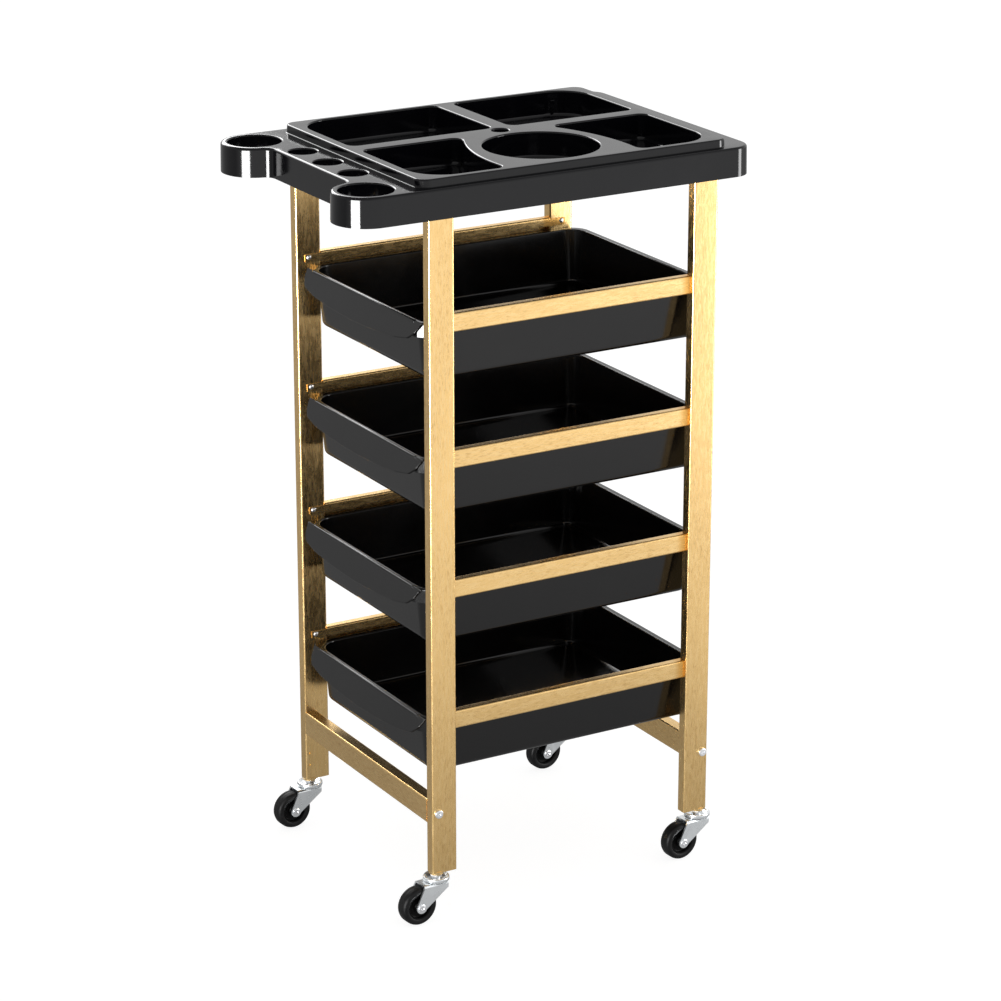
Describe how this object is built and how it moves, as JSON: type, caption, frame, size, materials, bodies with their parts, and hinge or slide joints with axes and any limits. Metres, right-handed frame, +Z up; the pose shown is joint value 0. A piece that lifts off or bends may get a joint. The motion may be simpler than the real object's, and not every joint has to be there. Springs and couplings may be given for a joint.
{
  "type": "rolling salon trolley",
  "caption": "Rolling salon trolley: gold tube frame on swivel casters, black pull-out drawers in channel rails, and a moulded top tray with compartments, tool holes and dryer rings.",
  "frame": {"origin": "on the floor, under the middle of the overall outline", "axes": "+Z up; -Y towards the front, where the drawers pull out and the dryer rings are; +X to the right as one faces the front"},
  "size_m": [0.337, 0.504, 0.852],
  "materials": {
    "gold_paint": "antiqued gold, lightly brushed",
    "gloss_black": "gloss moulded",
    "drawer_black": "fine satin gloss moulded",
    "plated_steel": "bright plated",
    "bright_steel": "zinc plated",
    "brass_boss": "gold coloured, satin",
    "wheel_plastic": "moulded",
    "tyre": "matt"
  },
  "bodies": {
    "stand": {"front_left_post": "gold_paint", "front_right_post": "gold_paint", "rear_left_post": "gold_paint", "rear_right_post": "gold_paint", "front_crossbar": "gold_paint", "rear_crossbar": "gold_paint", "left_rail_1": "gold_paint", "left_rail_2": "gold_paint", "left_rail_3": "gold_paint", "left_rail_4": "gold_paint", "right_rail_1": "gold_paint", "right_rail_2": "gold_paint", "right_rail_3": "gold_paint", "right_rail_4": "gold_paint", "rail_rivets": "bright_steel", "crossbar_bolts": "bright_steel", "crossbar_plugs": "bright_steel", "foot_inserts": "brass_boss", "tray_screws": "bright_steel", "top_tray": "gloss_black", "front_left_caster_stem": "bright_steel", "front_left_caster_cap": "plated_steel", "front_right_caster_stem": "bright_steel", "front_right_caster_cap": "plated_steel", "rear_left_caster_stem": "bright_steel", "rear_left_caster_cap": "plated_steel", "rear_right_caster_stem": "bright_steel", "rear_right_caster_cap": "plated_steel"},
    "drawer_1": {"drawer_1": "drawer_black"},
    "drawer_2": {"drawer_2": "drawer_black"},
    "drawer_3": {"drawer_3": "drawer_black"},
    "drawer_4": {"drawer_4": "drawer_black"},
    "front_left_fork": {"front_left_caster_fork": "plated_steel", "front_left_caster_axle": "bright_steel", "front_left_caster_balls": "bright_steel"},
    "front_left_wheel": {"front_left_caster_hub": "wheel_plastic", "front_left_caster_tyre": "tyre"},
    "front_right_fork": {"front_right_caster_fork": "plated_steel", "front_right_caster_axle": "bright_steel", "front_right_caster_balls": "bright_steel"},
    "front_right_wheel": {"front_right_caster_hub": "wheel_plastic", "front_right_caster_tyre": "tyre"},
    "rear_left_fork": {"rear_left_caster_fork": "plated_steel", "rear_left_caster_axle": "bright_steel", "rear_left_caster_balls": "bright_steel"},
    "rear_left_wheel": {"rear_left_caster_hub": "wheel_plastic", "rear_left_caster_tyre": "tyre"},
    "rear_right_fork": {"rear_right_caster_fork": "plated_steel", "rear_right_caster_axle": "bright_steel", "rear_right_caster_balls": "bright_steel"},
    "rear_right_wheel": {"rear_right_caster_hub": "wheel_plastic", "rear_right_caster_tyre": "tyre"}
  },
  "joints": [
    {"name": "drawer_1_slide", "type": "slide", "parent": "stand", "child": "drawer_1", "axis": [0, -1, 0], "range_m": [0, 0.24]},
    {"name": "drawer_2_slide", "type": "slide", "parent": "stand", "child": "drawer_2", "axis": [0, -1, 0], "range_m": [0, 0.24]},
    {"name": "drawer_3_slide", "type": "slide", "parent": "stand", "child": "drawer_3", "axis": [0, -1, 0], "range_m": [-0.0045, 0.2355]},
    {"name": "drawer_4_slide", "type": "slide", "parent": "stand", "child": "drawer_4", "axis": [0, -1, 0], "range_m": [0, 0.24]},
    {"name": "front_left_swivel", "type": "hinge", "parent": "stand", "child": "front_left_fork", "pos_m": [-0.1535, -0.1485, 0.048], "axis": [0, 0, 1], "continuous": true},
    {"name": "front_left_roll", "type": "hinge", "parent": "front_left_fork", "child": "front_left_wheel", "pos_m": [-0.15216, -0.17397, 0.022], "axis": [0.9986, 0.0523, 0], "continuous": true},
    {"name": "front_right_swivel", "type": "hinge", "parent": "stand", "child": "front_right_fork", "pos_m": [0.1535, -0.1485, 0.048], "axis": [0, 0, 1], "continuous": true},
    {"name": "front_right_roll", "type": "hinge", "parent": "front_right_fork", "child": "front_right_wheel", "pos_m": [0.15484, -0.17397, 0.022], "axis": [0.9986, 0.0523, 0], "continuous": true},
    {"name": "rear_left_swivel", "type": "hinge", "parent": "stand", "child": "rear_left_fork", "pos_m": [-0.1535, 0.2005, 0.048], "axis": [0, 0, 1], "continuous": true},
    {"name": "rear_left_roll", "type": "hinge", "parent": "rear_left_fork", "child": "rear_left_wheel", "pos_m": [-0.15216, 0.17503, 0.022], "axis": [0.9986, 0.0523, 0], "continuous": true},
    {"name": "rear_right_swivel", "type": "hinge", "parent": "stand", "child": "rear_right_fork", "pos_m": [0.1535, 0.2005, 0.048], "axis": [0, 0, 1], "continuous": true},
    {"name": "rear_right_roll", "type": "hinge", "parent": "rear_right_fork", "child": "rear_right_wheel", "pos_m": [0.15484, 0.17503, 0.022], "axis": [0.9986, 0.0523, 0], "continuous": true}
  ]
}
